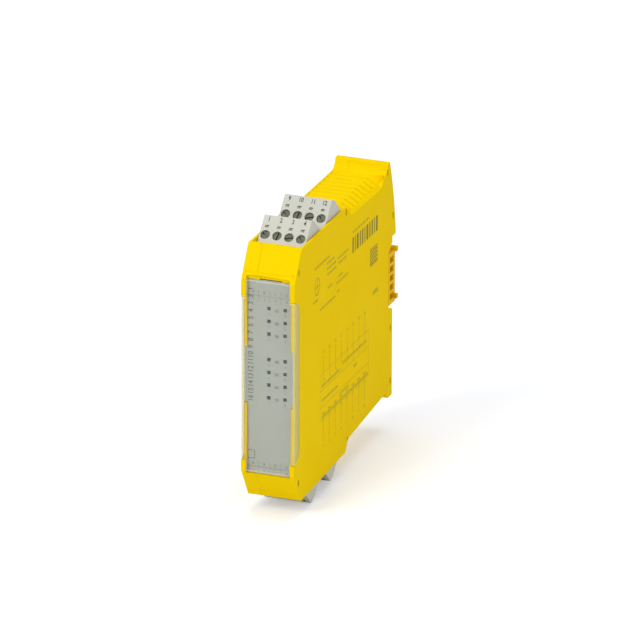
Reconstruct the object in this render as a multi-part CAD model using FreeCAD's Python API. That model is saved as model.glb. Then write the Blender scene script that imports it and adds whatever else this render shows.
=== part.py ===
"""Slim safety relay module that snaps on a 35 mm top-hat rail, in millimetres.

X runs across the module, +Y points back to the rail and +Z points up. The origin
is the rail seat: the middle of the rail, on the plane of the rail's flanges, at
half the module's width. A place on the side outline is written (depth, height):
depth from the flat front face, height from the housing's middle line. A place on
a terminal plug is written (into, along): into the plug from its screw face, and
along its pull-off direction from the upper edge of that face.
"""
import FreeCAD, Part
import math
import os

# Rail seat
rail_depth = 110.0            # front face to the rail's flanges
rail_rise = 5.0               # middle of the rail above the middle line
rail_width = 35.0
flange_room = 1.4             # gap for the rail's flange, 1 mm thick
hook_thickness = 3.7
hook_face = 2.0               # straight part of the hook's back
claw_height = 1.1
claw_half_width = 7.0

# Housing, as seen from the side
housing_width = 22.5
front_half_height = 40.4      # flat front face
shoulder_half_height = 53.0   # straight upper and lower edges of the side plates
shoulder_depth = 7.7          # where the slanted front meets the shoulder
shoulder_end = 57.4
shoulder_run = 2.2            # depth over which the shoulder falls to the roof
lower_shoulder_lead = 0.9     # the lower shoulder ends this much earlier
underside_rise = 2.0          # the lower shoulder climbs this much on its way back
roof_step = 2.0               # ribbed roof behind the terminals, below the shoulder
bevel_drop = 3.5              # bevel along the roof's right edge
bevel_width = 5.8
bevel_lead = 6.0              # depth over which the bevel comes in
bevel_tail = 3.4              # and goes out again
underside_step = 7.0          # ribbed underside, from the shoulder
underside_slant = 3.4         # and its rise to the rear
underside_lead = 3.0
deck_end_gap = 0.6            # the lower deck ends this far below the underside
rear_shoulder_ahead = 9.6     # where the roof rises to the rear lip, ahead of the rail
lip_ahead = 5.8
lip_rise = 4.5
lip_length = 2.4
lip_edge = 0.6
lip_sweep = (1.3, 1.5)        # how far the rise to the lip bows from its corner
hook_bow = (0.8, 2.5)         # the same for the bowed back of the hook
foot_block_ahead = 7.8
foot_block_slant = 3.6
foot_block_drop = 2.9
wall = 2.0                    # perimeter walls
side_wall = 1.15              # the two large side plates
seam_inset = 6.2              # parting line, from the left side
seam_groove = 0.25
rib_pitch = 4.2
rib_lead = 7.0
groove_width = 3.4
groove_depth = 0.45
groove_end_gap = 0.6          # grooves stop this short of the side plates' edges

# Latch windows in the right plate, each (depth, height)
window_width = 1.1
window_height = 2.6
window_deep = 2.4

# Front panel and its clear cover
opening_above = 1.5           # panel opening beyond the flat front face
opening_below = 0.7
front_strip = 2.05            # housing beside the panel
strip_wall = 1.5              # it reaches this far behind the cover's sides
lintel_inset = 0.1            # recessed strip above the panel
lintel_front = 1.6
panel_front = 2.1
panel_thickness = 1.5
panel_gap = 0.1
ear_half_height = 11.8
lever_notch_width = 9.4       # lets a screwdriver in behind the cover
lever_notch_height = 0.6
lever_notch_shift = 0.7
cover_thickness = 1.0
cover_side_thickness = 0.8
cover_side_depth = 6.0
cover_upper_inset = 7.4       # the wrap-around sides end this far inside the front face
cover_lower_inset = 4.8
cover_taper = 4.0             # and are this much shorter, at each end, along their rear edge
cover_bow = (3.6, 1.6)        # where the bowed ends of the sides pass: depth and drop
cover_gap = 0.1
cover_edge_radius = 0.7
hinge_depth = 1.0
hinge_inset = 0.7
hinge_barrel = 0.9
hinge_pin = 0.6
hinge_pin_length = 0.8
hinge_play = 0.06
hinge_end_play = 0.1

# Indicator lights: two columns of seven
light_columns_middle = 3.1
light_columns_apart = 6.8
light_inset = 11.8            # top row, from the front face's upper end
light_pitch = 5.35
light_rows = (0, 1, 2, 4, 5, 6, 7)
light_size = 1.5
light_gap = 0.05
light_web = 1.0
light_web_edge = 1.5
light_recess = 0.15
led_size = 1.2
led_height = 0.6

# Terminal plugs: four poles each, two rows above and two below
poles = 4
plug_play = 0.15              # beside the plugs, to each side plate
plug_thickness = 14.6
plug_length = 13.5
plug_crown = 1.3              # the wire face stands this far above the screw face's edge
plug_crown_start = 3.2
plug_nose_length = 6.5
plug_nose_half_width = 9.0
plug_nose_height = 9.4
plug_gap = 0.3
deck_lead = 4.94              # first deck's front corner, behind the shoulder's corner
deck_drop = 3.16              # and below it
upper_row_gap = 0.53          # between a row and the next, and how far it is pulled back
upper_row_shift = 16.4
lower_row_gap = 1.31
lower_row_shift = 14.07
screw_from_edge = 8.5
screw_hole = 1.95
screw_head = 1.75
screw_head_height = 1.5
screw_sunk = 0.7
screw_shank = 1.2
screw_slot_width = 0.55
screw_slot_depth = 0.8
first_slot_angle = 35
slot_angle_step = 65
wire_into = 8.7               # wire and contact axis, from the screw face
wire_entry = 3.6
clamp_width = 3.8
clamp_height = 5.6
clamp_length = 5.6
clamp_wall = 0.7
clamp_play = 0.1
clamp_bridge = 0.5
leaf_end_gap = 0.4
pin_size = 1.0
pin_end_gap = 1.0
spring_leaf = 0.35
contact_play = 0.05

# Headers in the housing that the plugs push into
header_wall = 1.1
header_floor = 1.5
header_play = 0.15
header_gap = 0.1
nose_gap = 0.3
tail_step = 1.2

# Circuit boards and what they carry
board_thickness = 1.6
board_gap = 0.1
board_front = 8.5
board_edge_gap = 0.6
light_board_thickness = 1.2
light_board_edge = 5.0
relay_size = (28.0, 13.0, 15.5)
relay_base = 0.5              # the relay's base stands out this far all round
relay_base_height = 2.0
relay_edge_radius = 0.8
relay_gap = 7.5               # ahead of the bus header
relay_height = 8.5
transformer_size = (14.0, 16.0, 11.0)
transformer_leg = 3.0
bobbin_rise = 0.5
bobbin_drop = 2.0
transformer_gap = 6.0         # ahead of the relays
capacitor_radius = 4.0
capacitor_length = 12.0
capacitor_gap = 7.0           # ahead of the relays
capacitor_height = 20.0
chip_size = 10.0
chip_thickness = 1.4
chip_gap = 8.0                # ahead of the transformer
chip_height = 12.0

# Rear latch foot and its spring
foot_half_width = 5.8
foot_neck_half_width = 4.6
foot_ahead = 4.8
foot_flange = 2.0
foot_sunk = 0.4
foot_play = 0.2
foot_arm_height = 3.2
foot_reach = 3.2
foot_tip_length = 1.0
foot_tip_height = 1.2
foot_below_rail = 0.1
foot_window_lift = 5.5
foot_window_height = 16.0
foot_window_half_width = 2.6
foot_slot_width = 5.0
foot_slot_height = 1.6
foot_slot_wall = 1.2
guide_recess = 0.1            # the foot's guide ends this far inside the back and bottom
anchor_height = 3.0
coil_radius = 1.6
coil_wire = 0.5
coil_turns = 4

# Bus connector that sits in the rail behind the module
bus_lift = 0.15
bus_half_height = 11.2
bus_ahead = 4.1
bus_behind = 3.0
bus_gap = 0.2
notch_rise = 3.44             # the housing's notch widens this much to the back, above
notch_fall = 1.72             # and below
bus_contacts_count = 5
bus_contact_pitch = 3.9
bus_chamber_height = 2.6
bus_chamber_depth = 4.0
bus_chamber_inset = 1.3
bus_chamber_deep = 5.0
bus_slot_half_width = 1.3
bus_slot_deep = 4.4
bus_slot_end = 0.8
bus_tab_reach = 1.35
bus_tab_root = 1.5
bus_tab_height = 2.0
bus_tab_length = 2.0
bus_tab_upper = 12.65         # top of the upper tab above the connector's middle
bus_tab_lower = -7.6          # top of the lower tab
bus_tab_play = 0.2
bus_wall_slot_end = 1.0
bus_blade_thickness = 0.8
bus_blade_height = 1.6
bus_blade_gap = 0.6
bus_header_depth = 6.0
bus_header_reach = 11.4       # across the module, from the board
bus_header_gap = 0.2
bus_header_end = 1.4

# Places that follow from the sizes
diagonal = math.sqrt(0.5)
rail_top = rail_rise + rail_width / 2
rail_bottom = rail_rise - rail_width / 2
rib_top = shoulder_half_height - roof_step
underside_front = shoulder_half_height - underside_step
underside_back = underside_front - underside_slant
underside_start = shoulder_end + underside_lead
rear_shoulder = rail_depth - rear_shoulder_ahead
lip_depth = rail_depth - lip_ahead
lip_top = rib_top + lip_rise
foot_block_start = rail_depth - foot_block_ahead
foot_block_bottom = underside_back + foot_block_drop
rib_start = shoulder_end + rib_lead
rib_count = int((rear_shoulder - rib_start) / rib_pitch) + 1
opening_top = front_half_height + opening_above
opening_bottom = front_half_height + opening_below
lintel_bottom = front_half_height - lintel_inset
cover_upper = front_half_height - cover_upper_inset
cover_lower = front_half_height - cover_lower_inset
hinge_height = front_half_height - hinge_inset
light_top = front_half_height - light_inset
foot_front = rail_depth - foot_ahead
foot_neck_front = foot_front + foot_flange
foot_back = rail_depth - foot_sunk
foot_tip_back = rail_depth + foot_reach
foot_window_bottom = foot_block_bottom - foot_window_lift
bus_middle = rail_rise + bus_lift
bus_front = rail_depth - bus_ahead
bus_back = rail_depth + bus_behind
bus_chamber_start = bus_front + bus_chamber_inset
half_width = housing_width / 2
inner_half_width = half_width - side_wall
seam_x = seam_inset - half_width
opening_half_width = half_width - front_strip
plug_width = 2 * (inner_half_width - plug_play)
pole_pitch = plug_width / poles
board_x = board_gap - inner_half_width
board_face_x = board_x + board_thickness
notch_front = bus_front - bus_gap
bus_header_back = notch_front - wall - bus_header_gap
relay_depth = bus_header_back - bus_header_depth - relay_gap - relay_size[0]
transformer_depth = relay_depth - transformer_gap - transformer_size[0]
capacitor_depth = relay_depth - capacitor_gap - capacitor_radius
chip_depth = transformer_depth - chip_gap - chip_size
past = 1.0                    # cutters reach this far past what they cut
window_places = [
    (shoulder_depth - 3.0, front_half_height + 3.8),
    (shoulder_end - 0.4, rib_top + 0.2),
    (lip_depth - 0.3, rib_top + 0.8),
    (rail_depth + 0.3, rail_top + 9.1),
    (rail_depth - 2.0, rail_bottom - 3.4),
    (rail_depth - 2.0, 6.8 - foot_block_bottom),
    (underside_start - 1.0, -underside_front - 0.2),
    (shoulder_depth - 3.0, -front_half_height - 3.8),
]


def place(x, depth, height):
    """A point of the part's own frame from its place on the module."""
    return FreeCAD.Vector(x, depth - rail_depth, height - rail_rise)


def outline(points, x):
    """Closed wire in a side plane. An entry (middle, end) is an arc through middle."""
    edges = []
    first = start = place(x, *points[0])
    for entry in points[1:]:
        if isinstance(entry[0], tuple):
            end = place(x, *entry[1])
            edges.append(Part.Arc(start, place(x, *entry[0]), end).toShape())
        else:
            end = place(x, *entry)
            edges.append(Part.LineSegment(start, end).toShape())
        start = end
    edges.append(Part.LineSegment(start, first).toShape())
    return Part.Wire(edges)


def slab(points, x0, x1, grow=0.0):
    """A side outline, grown or shrunk if asked, drawn out from x0 to x1."""
    face = Part.Face(outline(points, x0))
    if grow:
        face = Part.Face(face.makeOffset2D(grow, join=2).OuterWire)
    return face.extrude(FreeCAD.Vector(x1 - x0, 0, 0))


def block(x0, x1, depth0, depth1, height0, height1):
    """A box between two corners given on the module."""
    size = (x1 - x0, depth1 - depth0, height1 - height0)
    return Part.makeBox(*size, place(x0, depth0, height0))


def cell(x0, x1, into0, into1, along0, along1):
    """A box in a plug's own directions."""
    size = (x1 - x0, into1 - into0, along1 - along0)
    return Part.makeBox(*size, FreeCAD.Vector(x0, into0, along0))


def on_plug(into, along, row, lower=False):
    """The depth, and the distance from the middle line, of a place on a plug."""
    into += row * (plug_thickness + (lower_row_gap if lower else upper_row_gap))
    along += plug_length + plug_gap + row * (lower_row_shift if lower else upper_row_shift)
    return (shoulder_depth + deck_lead + (into + along) * diagonal,
            shoulder_half_height - deck_drop + (along - into) * diagonal)


def seat(shape, row, lower):
    """Turns a plug's piece to 45 degrees and sets it in its row, above or below."""
    set_piece = shape.copy()
    set_piece.rotate(FreeCAD.Vector(), FreeCAD.Vector(1, 0, 0), -45)
    set_piece.translate(place(0, *on_plug(0, 0, row, lower)))
    if lower:
        set_piece.rotate(place(0, 0, 0), FreeCAD.Vector(0, 1, 0), 180)
    return set_piece


def pole_places():
    return [(k - (poles - 1) / 2) * pole_pitch for k in range(poles)]


def flipped(points):
    """The same outline points below the middle line, in the opposite order."""
    return [(depth, -height) for depth, height in reversed(points)]


# Side outlines

def rear_outline():
    """From the roof, over the rear lip and the rail seat, to the underside."""
    bus_top = bus_middle + bus_half_height + 2 * bus_gap
    bus_bottom = bus_middle - bus_half_height - 2 * bus_gap
    lip_end = lip_depth + lip_length
    hook_back = rail_depth + hook_thickness
    bow = (rail_depth + hook_bow[0], (lip_top + rail_top) / 2 + hook_bow[1])
    return [
        (rear_shoulder, rib_top),
        ((lip_depth - lip_sweep[0], rib_top + lip_sweep[1]), (lip_depth, lip_top - lip_edge)),
        (lip_depth + lip_edge, lip_top),
        (lip_end, lip_top),
        (bow, (hook_back, rail_top + hook_face)),
        (hook_back, rail_top),
        (rail_depth, rail_top),
        (rail_depth, bus_top + notch_rise),
        (notch_front, bus_top),
        (notch_front, bus_bottom),
        (rail_depth, bus_bottom - notch_fall),
        (rail_depth, -foot_block_bottom),
        (foot_block_start + foot_block_slant, -foot_block_bottom),
        (foot_block_start, -underside_back),
    ]


def plate_outline():
    """The large side plates, which also flank the terminal plugs."""
    upper = [(0, front_half_height), (shoulder_depth, shoulder_half_height),
             (shoulder_end, shoulder_half_height), (shoulder_end + shoulder_run, rib_top)]
    lower = [(underside_start, -underside_front),
             (shoulder_end - lower_shoulder_lead, underside_rise - shoulder_half_height),
             (shoulder_depth, -shoulder_half_height), (0, -front_half_height)]
    return upper + rear_outline() + lower


def deck_points(roof, lower=False):
    """Steps in which the plugs sit, from the shoulder back to the given roof height."""
    deck = -plug_length - plug_gap
    back = plug_thickness + plug_gap
    depth, height = on_plug(0, deck, 0, lower)
    corner = on_plug(back, 0, 1, lower)
    return [(shoulder_depth, shoulder_half_height),
            (depth + height - shoulder_half_height, shoulder_half_height),
            on_plug(back, deck, 0, lower), on_plug(-plug_gap, deck, 1, lower),
            on_plug(back, deck, 1, lower), (corner[0] + roof - corner[1], roof)]


def core_outline():
    """The perimeter wall between the plates, stepped down under the plugs."""
    upper = [(0, front_half_height)] + deck_points(rib_top)
    lower = flipped(deck_points(underside_front + deck_end_gap, True)) + [(0, -front_half_height)]
    return upper + rear_outline() + lower


# Housing

def rib_grooves(x0, x1):
    """Shallow hollows between the roof's ribs, which follow its bevel, and those below."""
    radius = (groove_width ** 2 / 4 + groove_depth ** 2) / (2 * groove_depth)
    ridge = half_width - bevel_width
    slope = bevel_drop / bevel_width
    slant = (underside_front - underside_back) / (foot_block_start - underside_start)
    lift = radius - groove_depth
    grooves = []
    for k in range(rib_count):
        depth = rib_start + k * rib_pitch
        roof = Part.makeCylinder(radius, min(x1, ridge) - x0,
                                 place(x0, depth, rib_top + lift), FreeCAD.Vector(1, 0, 0))
        under = underside_front - slant * (depth - underside_start) + lift
        below = Part.makeCylinder(radius, x1 - x0, place(x0, depth, -under),
                                  FreeCAD.Vector(1, 0, 0))
        grooves += [roof, below]
        if x1 > ridge:
            long = math.hypot(x1 - ridge, slope * (x1 - ridge))
            grooves.append(Part.makeCylinder(radius, long, place(ridge, depth, rib_top + lift),
                                             FreeCAD.Vector(1, 0, -slope)))
    return grooves


def roof_bevel():
    """What the bevel takes off the roof's right edge, with slanted ends."""
    low = rib_top - bevel_drop
    top = lip_top + past
    side = [(shoulder_end, shoulder_half_height), (shoulder_end + bevel_lead, low),
            (rear_shoulder - bevel_tail, low), (lip_depth, lip_top), (lip_depth, top),
            (shoulder_end, top)]
    ends = slab(side, half_width - 2 * bevel_width, half_width + past)
    front = shoulder_end - past
    start = place(half_width - 2 * bevel_width, front, rib_top + bevel_drop)
    corners = [start, place(half_width + bevel_width, front, low - bevel_drop),
               place(half_width + bevel_width, front, top + 4 * bevel_drop)]
    wedge = Part.Face(Part.makePolygon(corners + [start]))
    return ends.common(wedge.extrude(FreeCAD.Vector(0, lip_depth + past - front, 0)))


def shell_walls(x0, x1):
    """Perimeter wall from x0 to x1, open at the front for the panel."""
    points = core_outline()
    ring = slab(points, x0, x1).cut(slab(points, x0, x1, grow=-wall))
    front = block(-opening_half_width, opening_half_width, -past, cover_side_depth,
                  -opening_bottom, opening_top)
    lintel = block(x0, x1, lintel_front, lintel_front + wall, lintel_bottom, opening_top + wall)
    return ring.cut(front).fuse(lintel)


def front_rail(side):
    """The thick strip beside the panel, on the right (1) or left (-1)."""
    inner, outer = opening_half_width * side, inner_half_width * side
    box = block(min(inner, outer), max(inner, outer), 0, cover_side_depth + strip_wall,
                -shoulder_half_height, shoulder_half_height)
    return box.common(slab(plate_outline(), min(inner, outer), max(inner, outer)))


def cover_flank():
    """Side outline of the clear cover's wrap-around sides."""
    upper, lower = cover_upper - cover_taper, cover_taper - cover_lower
    bend, bulge = cover_bow
    return [(0, cover_upper), ((bend, cover_upper - bulge), (cover_side_depth, upper)),
            (cover_side_depth, lower), ((bend, bulge - cover_lower), (0, -cover_lower))]


def front_cuts(side):
    """Room for the clear cover's side, the panel's ear and the hinge pin."""
    rebate = half_width - cover_side_thickness - cover_gap
    ear = ear_half_height + 2 * panel_gap
    x0, x1 = sorted((rebate * side, (half_width + past) * side))
    e0, e1 = sorted(((opening_half_width - panel_gap) * side, (half_width + past) * side))
    skin = block(min(e0, x0), max(e1, x1), -past, cover_thickness + cover_gap,
                 -cover_lower - cover_gap, cover_upper + cover_gap)
    flank = slab(cover_flank(), x0, x1, grow=cover_gap)
    notch = block(e0, e1, -past, panel_front + panel_thickness + panel_gap, -ear, ear)
    hole = Part.makeCylinder(hinge_pin + hinge_play, hinge_pin_length + hinge_end_play,
                             place(opening_half_width * side, hinge_depth, -hinge_height),
                             FreeCAD.Vector(side, 0, 0))
    return [skin, flank, notch, hole]


def header_openings():
    """Where the headers come up through the stepped deck."""
    cutters = []
    for lower in (False, True):
        for row in (0, 1):
            low = wire_into - plug_nose_height / 2 - header_wall - header_play
            half = plug_width / 2 + header_gap
            box = cell(-half, half, low - header_gap, plug_thickness + header_gap,
                       header_bottom() - past, -plug_length + past)
            cutters.append(seat(box, row, lower))
    return cutters


def foot_channel(grow=0.0):
    """The T-shaped way of the latch foot, open at the back and underneath."""
    top = rail_bottom - foot_below_rail + grow
    low = -foot_block_bottom - past
    wide = block(-foot_half_width - grow, foot_half_width + grow, foot_front - grow,
                 foot_neck_front + grow, low, top)
    neck = block(-foot_neck_half_width - grow, foot_neck_half_width + grow,
                 foot_neck_front, rail_depth + past, low, top)
    return wide.fuse(neck)


def spring_anchor():
    """The housing's cleat in the foot's window, which the spring pushes on."""
    half = foot_window_half_width - foot_play
    low = -foot_window_bottom + foot_play
    return block(-half, half, foot_front - wall, foot_back, low, low + anchor_height)


def rear_guides(x0, x1):
    """From x0 to x1: the foot's guide inside the back wall, and the upper hook's claw."""
    half = foot_half_width + wall / 2
    guide = block(max(-half, x0), min(half, x1), foot_front - wall,
                  rail_depth - guide_recess, guide_recess - foot_block_bottom,
                  rail_bottom + wall)
    claw = block(max(-claw_half_width, x0), min(claw_half_width, x1),
                 rail_depth + flange_room, rail_depth + hook_thickness,
                 rail_top - claw_height, rail_top + wall)
    return guide.common(slab(core_outline(), x0, x1)), claw


def latch_windows(x, length):
    shapes = []
    for depth, height in window_places:
        shapes.append(block(x, x + length, depth - window_width / 2, depth + window_width / 2,
                            height - window_height / 2, height + window_height / 2))
    return shapes


def make_housing_body():
    """Main shell: right plate, perimeter wall to the seam, rail seat and foot channel."""
    body = slab(plate_outline(), inner_half_width, half_width)
    body = body.fuse(shell_walls(seam_x, inner_half_width))
    body = body.fuse(front_rail(1))
    backing = block(half_width - bevel_width - wall, inner_half_width, shoulder_end,
                    lip_depth, rib_top - bevel_drop - wall, lip_top)
    core = slab(core_outline(), seam_x, inner_half_width)
    body = body.fuse([backing.common(core), *rear_guides(seam_x, inner_half_width)])
    body = body.cut(foot_channel(foot_play)).fuse(spring_anchor())
    slot_half = bus_half_height - bus_wall_slot_end
    slot_side = bus_blade_thickness / 2 + bus_blade_gap
    bus_slot = block(-slot_side, slot_side, notch_front - wall - past, notch_front + past,
                     bus_middle - slot_half, bus_middle + slot_half)
    half = lever_notch_width / 2
    lever = block(lever_notch_shift - half, lever_notch_shift + half, 0,
                  lintel_front + wall + past, lintel_bottom, lintel_bottom + lever_notch_height)
    cutters = [roof_bevel(), bus_slot, lever] + rib_grooves(seam_x, half_width - groove_end_gap)
    cutters += front_cuts(1) + header_openings()
    cutters += latch_windows(half_width - window_deep, window_deep + past)
    return body.cut(cutters).removeSplitter()


def make_side_cover():
    """Left shell: plate and the rim up to the seam, with a fine groove along it."""
    cover = slab(plate_outline(), -half_width, -inner_half_width)
    cover = cover.fuse(shell_walls(-inner_half_width, seam_x))
    cover = cover.fuse([front_rail(-1), *rear_guides(-inner_half_width, seam_x)])
    core = core_outline()
    groove = slab(core, seam_x - seam_groove, seam_x, grow=past).cut(
        slab(core, seam_x - seam_groove, seam_x, grow=-seam_groove))
    cutters = [groove, foot_channel(foot_play)] + rib_grooves(groove_end_gap - half_width, seam_x)
    cutters += front_cuts(-1) + header_openings()
    return cover.cut(cutters).removeSplitter()


# Front panel, clear cover and lights

def light_places():
    columns = [light_columns_middle + side * light_columns_apart / 2 for side in (-1, 1)]
    return [(x, light_top - row * light_pitch) for x in columns for row in light_rows]


def make_front_panel():
    """Grey panel between the front rails, with ears at mid-height and light windows."""
    half = opening_half_width - panel_gap
    ear = half_width - cover_side_thickness - 2 * cover_gap
    back = panel_front + panel_thickness
    panel = block(-half, half, panel_front, back,
                  -opening_bottom + panel_gap, lintel_bottom - panel_gap)
    panel = panel.fuse(block(-ear, ear, panel_front, back, -ear_half_height, ear_half_height))
    size = light_size / 2
    holes = [block(x - size, x + size, 0, back + past, z - size, z + size)
             for x, z in light_places()]
    return panel.cut(holes).removeSplitter()


def make_clear_cover():
    """Clear flap: thin skin, wrap-around sides and a hinge barrel at the bottom."""
    half = opening_half_width - panel_gap
    top = lintel_bottom - 2 * cover_gap
    cover = block(-half, half, 0, cover_thickness, -hinge_height, top)
    tray = slab(cover_flank(), -half_width, half_width)
    edges = [e for e in tray.Edges if abs(e.CenterOfMass.y - place(0, 0, 0).y) < 1e-6]
    tray = tray.makeFillet(cover_edge_radius, edges)
    inner = half_width - cover_side_thickness
    tray = tray.cut(block(-inner, inner, cover_thickness, cover_side_depth + past,
                          -cover_lower - past, cover_upper + past))
    along = FreeCAD.Vector(1, 0, 0)
    barrel = Part.makeCylinder(hinge_barrel, 2 * half,
                               place(-half, hinge_depth, -hinge_height), along)
    reach = half + hinge_pin_length
    pins = Part.makeCylinder(hinge_pin, 2 * reach,
                             place(-reach, hinge_depth, -hinge_height), along)
    return cover.fuse([tray, barrel, pins]).removeSplitter()


def make_light_guide():
    """Smoked light pipes in the panel's windows, on one web behind it."""
    back = panel_front + panel_thickness
    size = light_size / 2 - light_gap
    half = light_columns_apart / 2 + light_web_edge
    low = light_top - max(light_rows) * light_pitch - light_web_edge
    web = block(light_columns_middle - half, light_columns_middle + half, back,
                back + light_web, low, light_top + light_web_edge)
    pipes = [block(x - size, x + size, panel_front + light_recess, back, z - size, z + size)
             for x, z in light_places()]
    return web.fuse(pipes).removeSplitter()


def light_board_front():
    return panel_front + panel_thickness + light_web + led_height


def make_indicator_board():
    half = opening_half_width - 4 * panel_gap
    front = light_board_front()
    return block(-half, half, front, front + light_board_thickness,
                 light_board_edge - opening_bottom, opening_top - light_board_edge)


def make_indicator_leds():
    size = led_size / 2
    front = light_board_front()
    lamps = [block(x - size, x + size, front - led_height, front, z - size, z + size)
             for x, z in light_places()]
    return Part.makeCompound(lamps)


# Terminal plugs, in their own directions

def make_plug():
    """Plug moulding: screw holes, wire funnels, clamp chambers and a narrower nose."""
    side = [(0, -plug_length), (0, 0), (plug_crown_start, plug_crown),
            (plug_thickness, plug_crown), (plug_thickness, -plug_length)]
    corners = [FreeCAD.Vector(-plug_width / 2, into, along) for into, along in side]
    face = Part.Face(Part.makePolygon(corners + corners[:1]))
    body = face.extrude(FreeCAD.Vector(plug_width, 0, 0))
    nose = plug_nose_height / 2
    body = body.fuse(cell(-plug_nose_half_width, plug_nose_half_width, wire_into - nose,
                          wire_into + nose, -plug_length - plug_nose_length, -plug_length))
    cutters = []
    entry = wire_entry / 2
    room = clamp_play + clamp_width / 2
    for x in pole_places():
        axis = FreeCAD.Vector(x, -past, -screw_from_edge)
        into = FreeCAD.Vector(0, 1, 0)
        cutters.append(Part.makeCylinder(screw_hole, wire_into, axis, into))
        cutters.append(cell(x - room, x + room, wire_into - clamp_height / 2 - clamp_play,
                            wire_into + clamp_height / 2 + clamp_play,
                            -screw_from_edge - clamp_length / 2 - clamp_play,
                            -screw_from_edge + clamp_length / 2 + clamp_play))
        cutters.append(cell(x - entry, x + entry, wire_into - entry, wire_into + entry,
                            -screw_from_edge, plug_crown + past))
        half = pin_size / 2 + spring_leaf + 2 * contact_play
        cutters.append(cell(x - half, x + half, wire_into - half, wire_into + half,
                            -plug_length - plug_nose_length - past, -screw_from_edge))
    return body.cut(cutters).removeSplitter()


def make_plug_screws():
    """Slotted clamp screws, each slot turned a little differently."""
    screws = []
    into = FreeCAD.Vector(0, 1, 0)
    for k, x in enumerate(pole_places()):
        top = FreeCAD.Vector(x, screw_sunk, -screw_from_edge)
        length = wire_into - clamp_height / 2 + clamp_wall - screw_sunk
        screw = Part.makeCylinder(screw_head, screw_head_height, top, into)
        screw = screw.fuse(Part.makeCylinder(screw_shank, length, top, into))
        slot = Part.makeBox(2 * (screw_head + past), screw_slot_depth, screw_slot_width,
                            top - FreeCAD.Vector(screw_head + past, 0, screw_slot_width / 2))
        slot.rotate(top, into, first_slot_angle + k * slot_angle_step)
        screws.append(screw.cut(slot))
    return Part.makeCompound(screws)


def make_plug_clamps():
    """Wire cages with the two contact leaves that run down into the nose."""
    clamps = []
    for x in pole_places():
        half, high, long = clamp_width / 2, clamp_height / 2, clamp_length / 2
        cage = cell(x - half, x + half, wire_into - high, wire_into + high,
                    -screw_from_edge - long, -screw_from_edge + long)
        inside = cell(x - half + clamp_wall, x + half - clamp_wall,
                      wire_into - high + clamp_wall, wire_into + high - clamp_wall,
                      -screw_from_edge - long - past, -screw_from_edge + long + past)
        hole = Part.makeCylinder(screw_shank + contact_play, high,
                                 FreeCAD.Vector(x, wire_into - high - past, -screw_from_edge),
                                 FreeCAD.Vector(0, 1, 0))
        cage = cage.cut([inside, hole])
        near = pin_size / 2 + contact_play
        base = -screw_from_edge - long
        tip = leaf_end_gap - plug_length - plug_nose_length
        for sign in (-1, 1):
            into0, into1 = sorted((wire_into + sign * near,
                                   wire_into + sign * (near + spring_leaf)))
            cage = cage.fuse(cell(x - near, x + near, into0, into1, tip, base))
        bridge = cell(x - half, x + half, wire_into - near - spring_leaf,
                      wire_into + near + spring_leaf, base, base + clamp_bridge)
        clamps.append(cage.fuse(bridge).removeSplitter())
    return Part.makeCompound(clamps)


def header_bottom():
    """Underside of a header, along its plug's direction."""
    return -plug_length - plug_nose_length - nose_gap - header_floor


def make_header():
    """Shrouded header: floor, four walls and a hole for each pin."""
    half = plug_width / 2
    low = wire_into - plug_nose_height / 2 - header_play
    high = wire_into + plug_nose_height / 2 + header_play
    top = -plug_length - header_play
    floor = header_bottom() + header_floor
    shroud = cell(-half, half, low - header_wall, plug_thickness, header_bottom(), top)
    inner = plug_nose_half_width + header_play
    holes = [cell(-inner, inner, low, high, floor, top + past)]
    size = pin_size / 2
    for x in pole_places():
        holes.append(cell(x - size, x + size, wire_into - size, wire_into + size,
                          header_bottom() - past, floor + past))
    return shroud.cut(holes)


def make_header_pins(lower):
    """Square pins, bent aside below the header to reach the main board."""
    size = pin_size / 2
    board = -board_face_x if lower else board_face_x
    pins = []
    for k, x in enumerate(pole_places()):
        along = header_bottom() - tail_step * (1 + (poles - 1 - k if lower else k))
        pin = cell(x - size, x + size, wire_into - size, wire_into + size,
                   along - size, -plug_length - pin_end_gap)
        x0, x1 = sorted((board, x))
        tail = cell(x0, x1, wire_into - size, wire_into + size, along - size, along + size)
        pins.append(pin.fuse(tail).removeSplitter())
    return Part.makeCompound(pins)


# Boards and what they carry

def make_main_board():
    """Board on the left plate, cut back round the headers and the foot channel."""
    board = slab(core_outline(), board_x, board_face_x, grow=-wall - board_edge_gap)
    keep = block(board_x, board_face_x, board_front, foot_front - wall - board_edge_gap,
                 -shoulder_half_height, shoulder_half_height)
    room = header_wall + header_play + board_edge_gap
    cutters = []
    for lower in (False, True):
        for row in (0, 1):
            box = cell(-half_width, half_width, -plug_thickness, plug_thickness + room,
                       header_bottom() - board_edge_gap / 2,
                       plug_crown)
            cutters.append(seat(box, row, lower))
    return board.common(keep).cut(cutters).removeSplitter()


def on_board(depth, height, long, high, tall):
    """A component standing on the board, its middle at the given height."""
    return block(board_face_x, board_face_x + tall, depth, depth + long,
                 height - high / 2, height + high / 2)


def make_relay(height):
    """Sealed relay with a rounded cover and its base flange."""
    long, high, tall = relay_size
    case = on_board(relay_depth, height, long, high, tall)
    top = [e for e in case.Edges if e.CenterOfMass.x > board_face_x + tall - 0.01]
    case = case.makeFillet(relay_edge_radius, top)
    base = on_board(relay_depth - relay_base, height, long + 2 * relay_base,
                    high + 2 * relay_base, relay_base_height)
    return case.fuse(base)


def make_transformer():
    """Isolating transformer: E-core with its bobbin between the legs."""
    long, high, tall = transformer_size
    core = on_board(transformer_depth, 0, long, high, tall)
    start, gap = transformer_depth + transformer_leg, long - 2 * transformer_leg
    waist = on_board(start, 0, gap, high + past, tall + past)
    bobbin = on_board(start, 0, gap, high + 2 * bobbin_rise, tall - bobbin_drop)
    return core.cut(waist).fuse(bobbin).removeSplitter()


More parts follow.
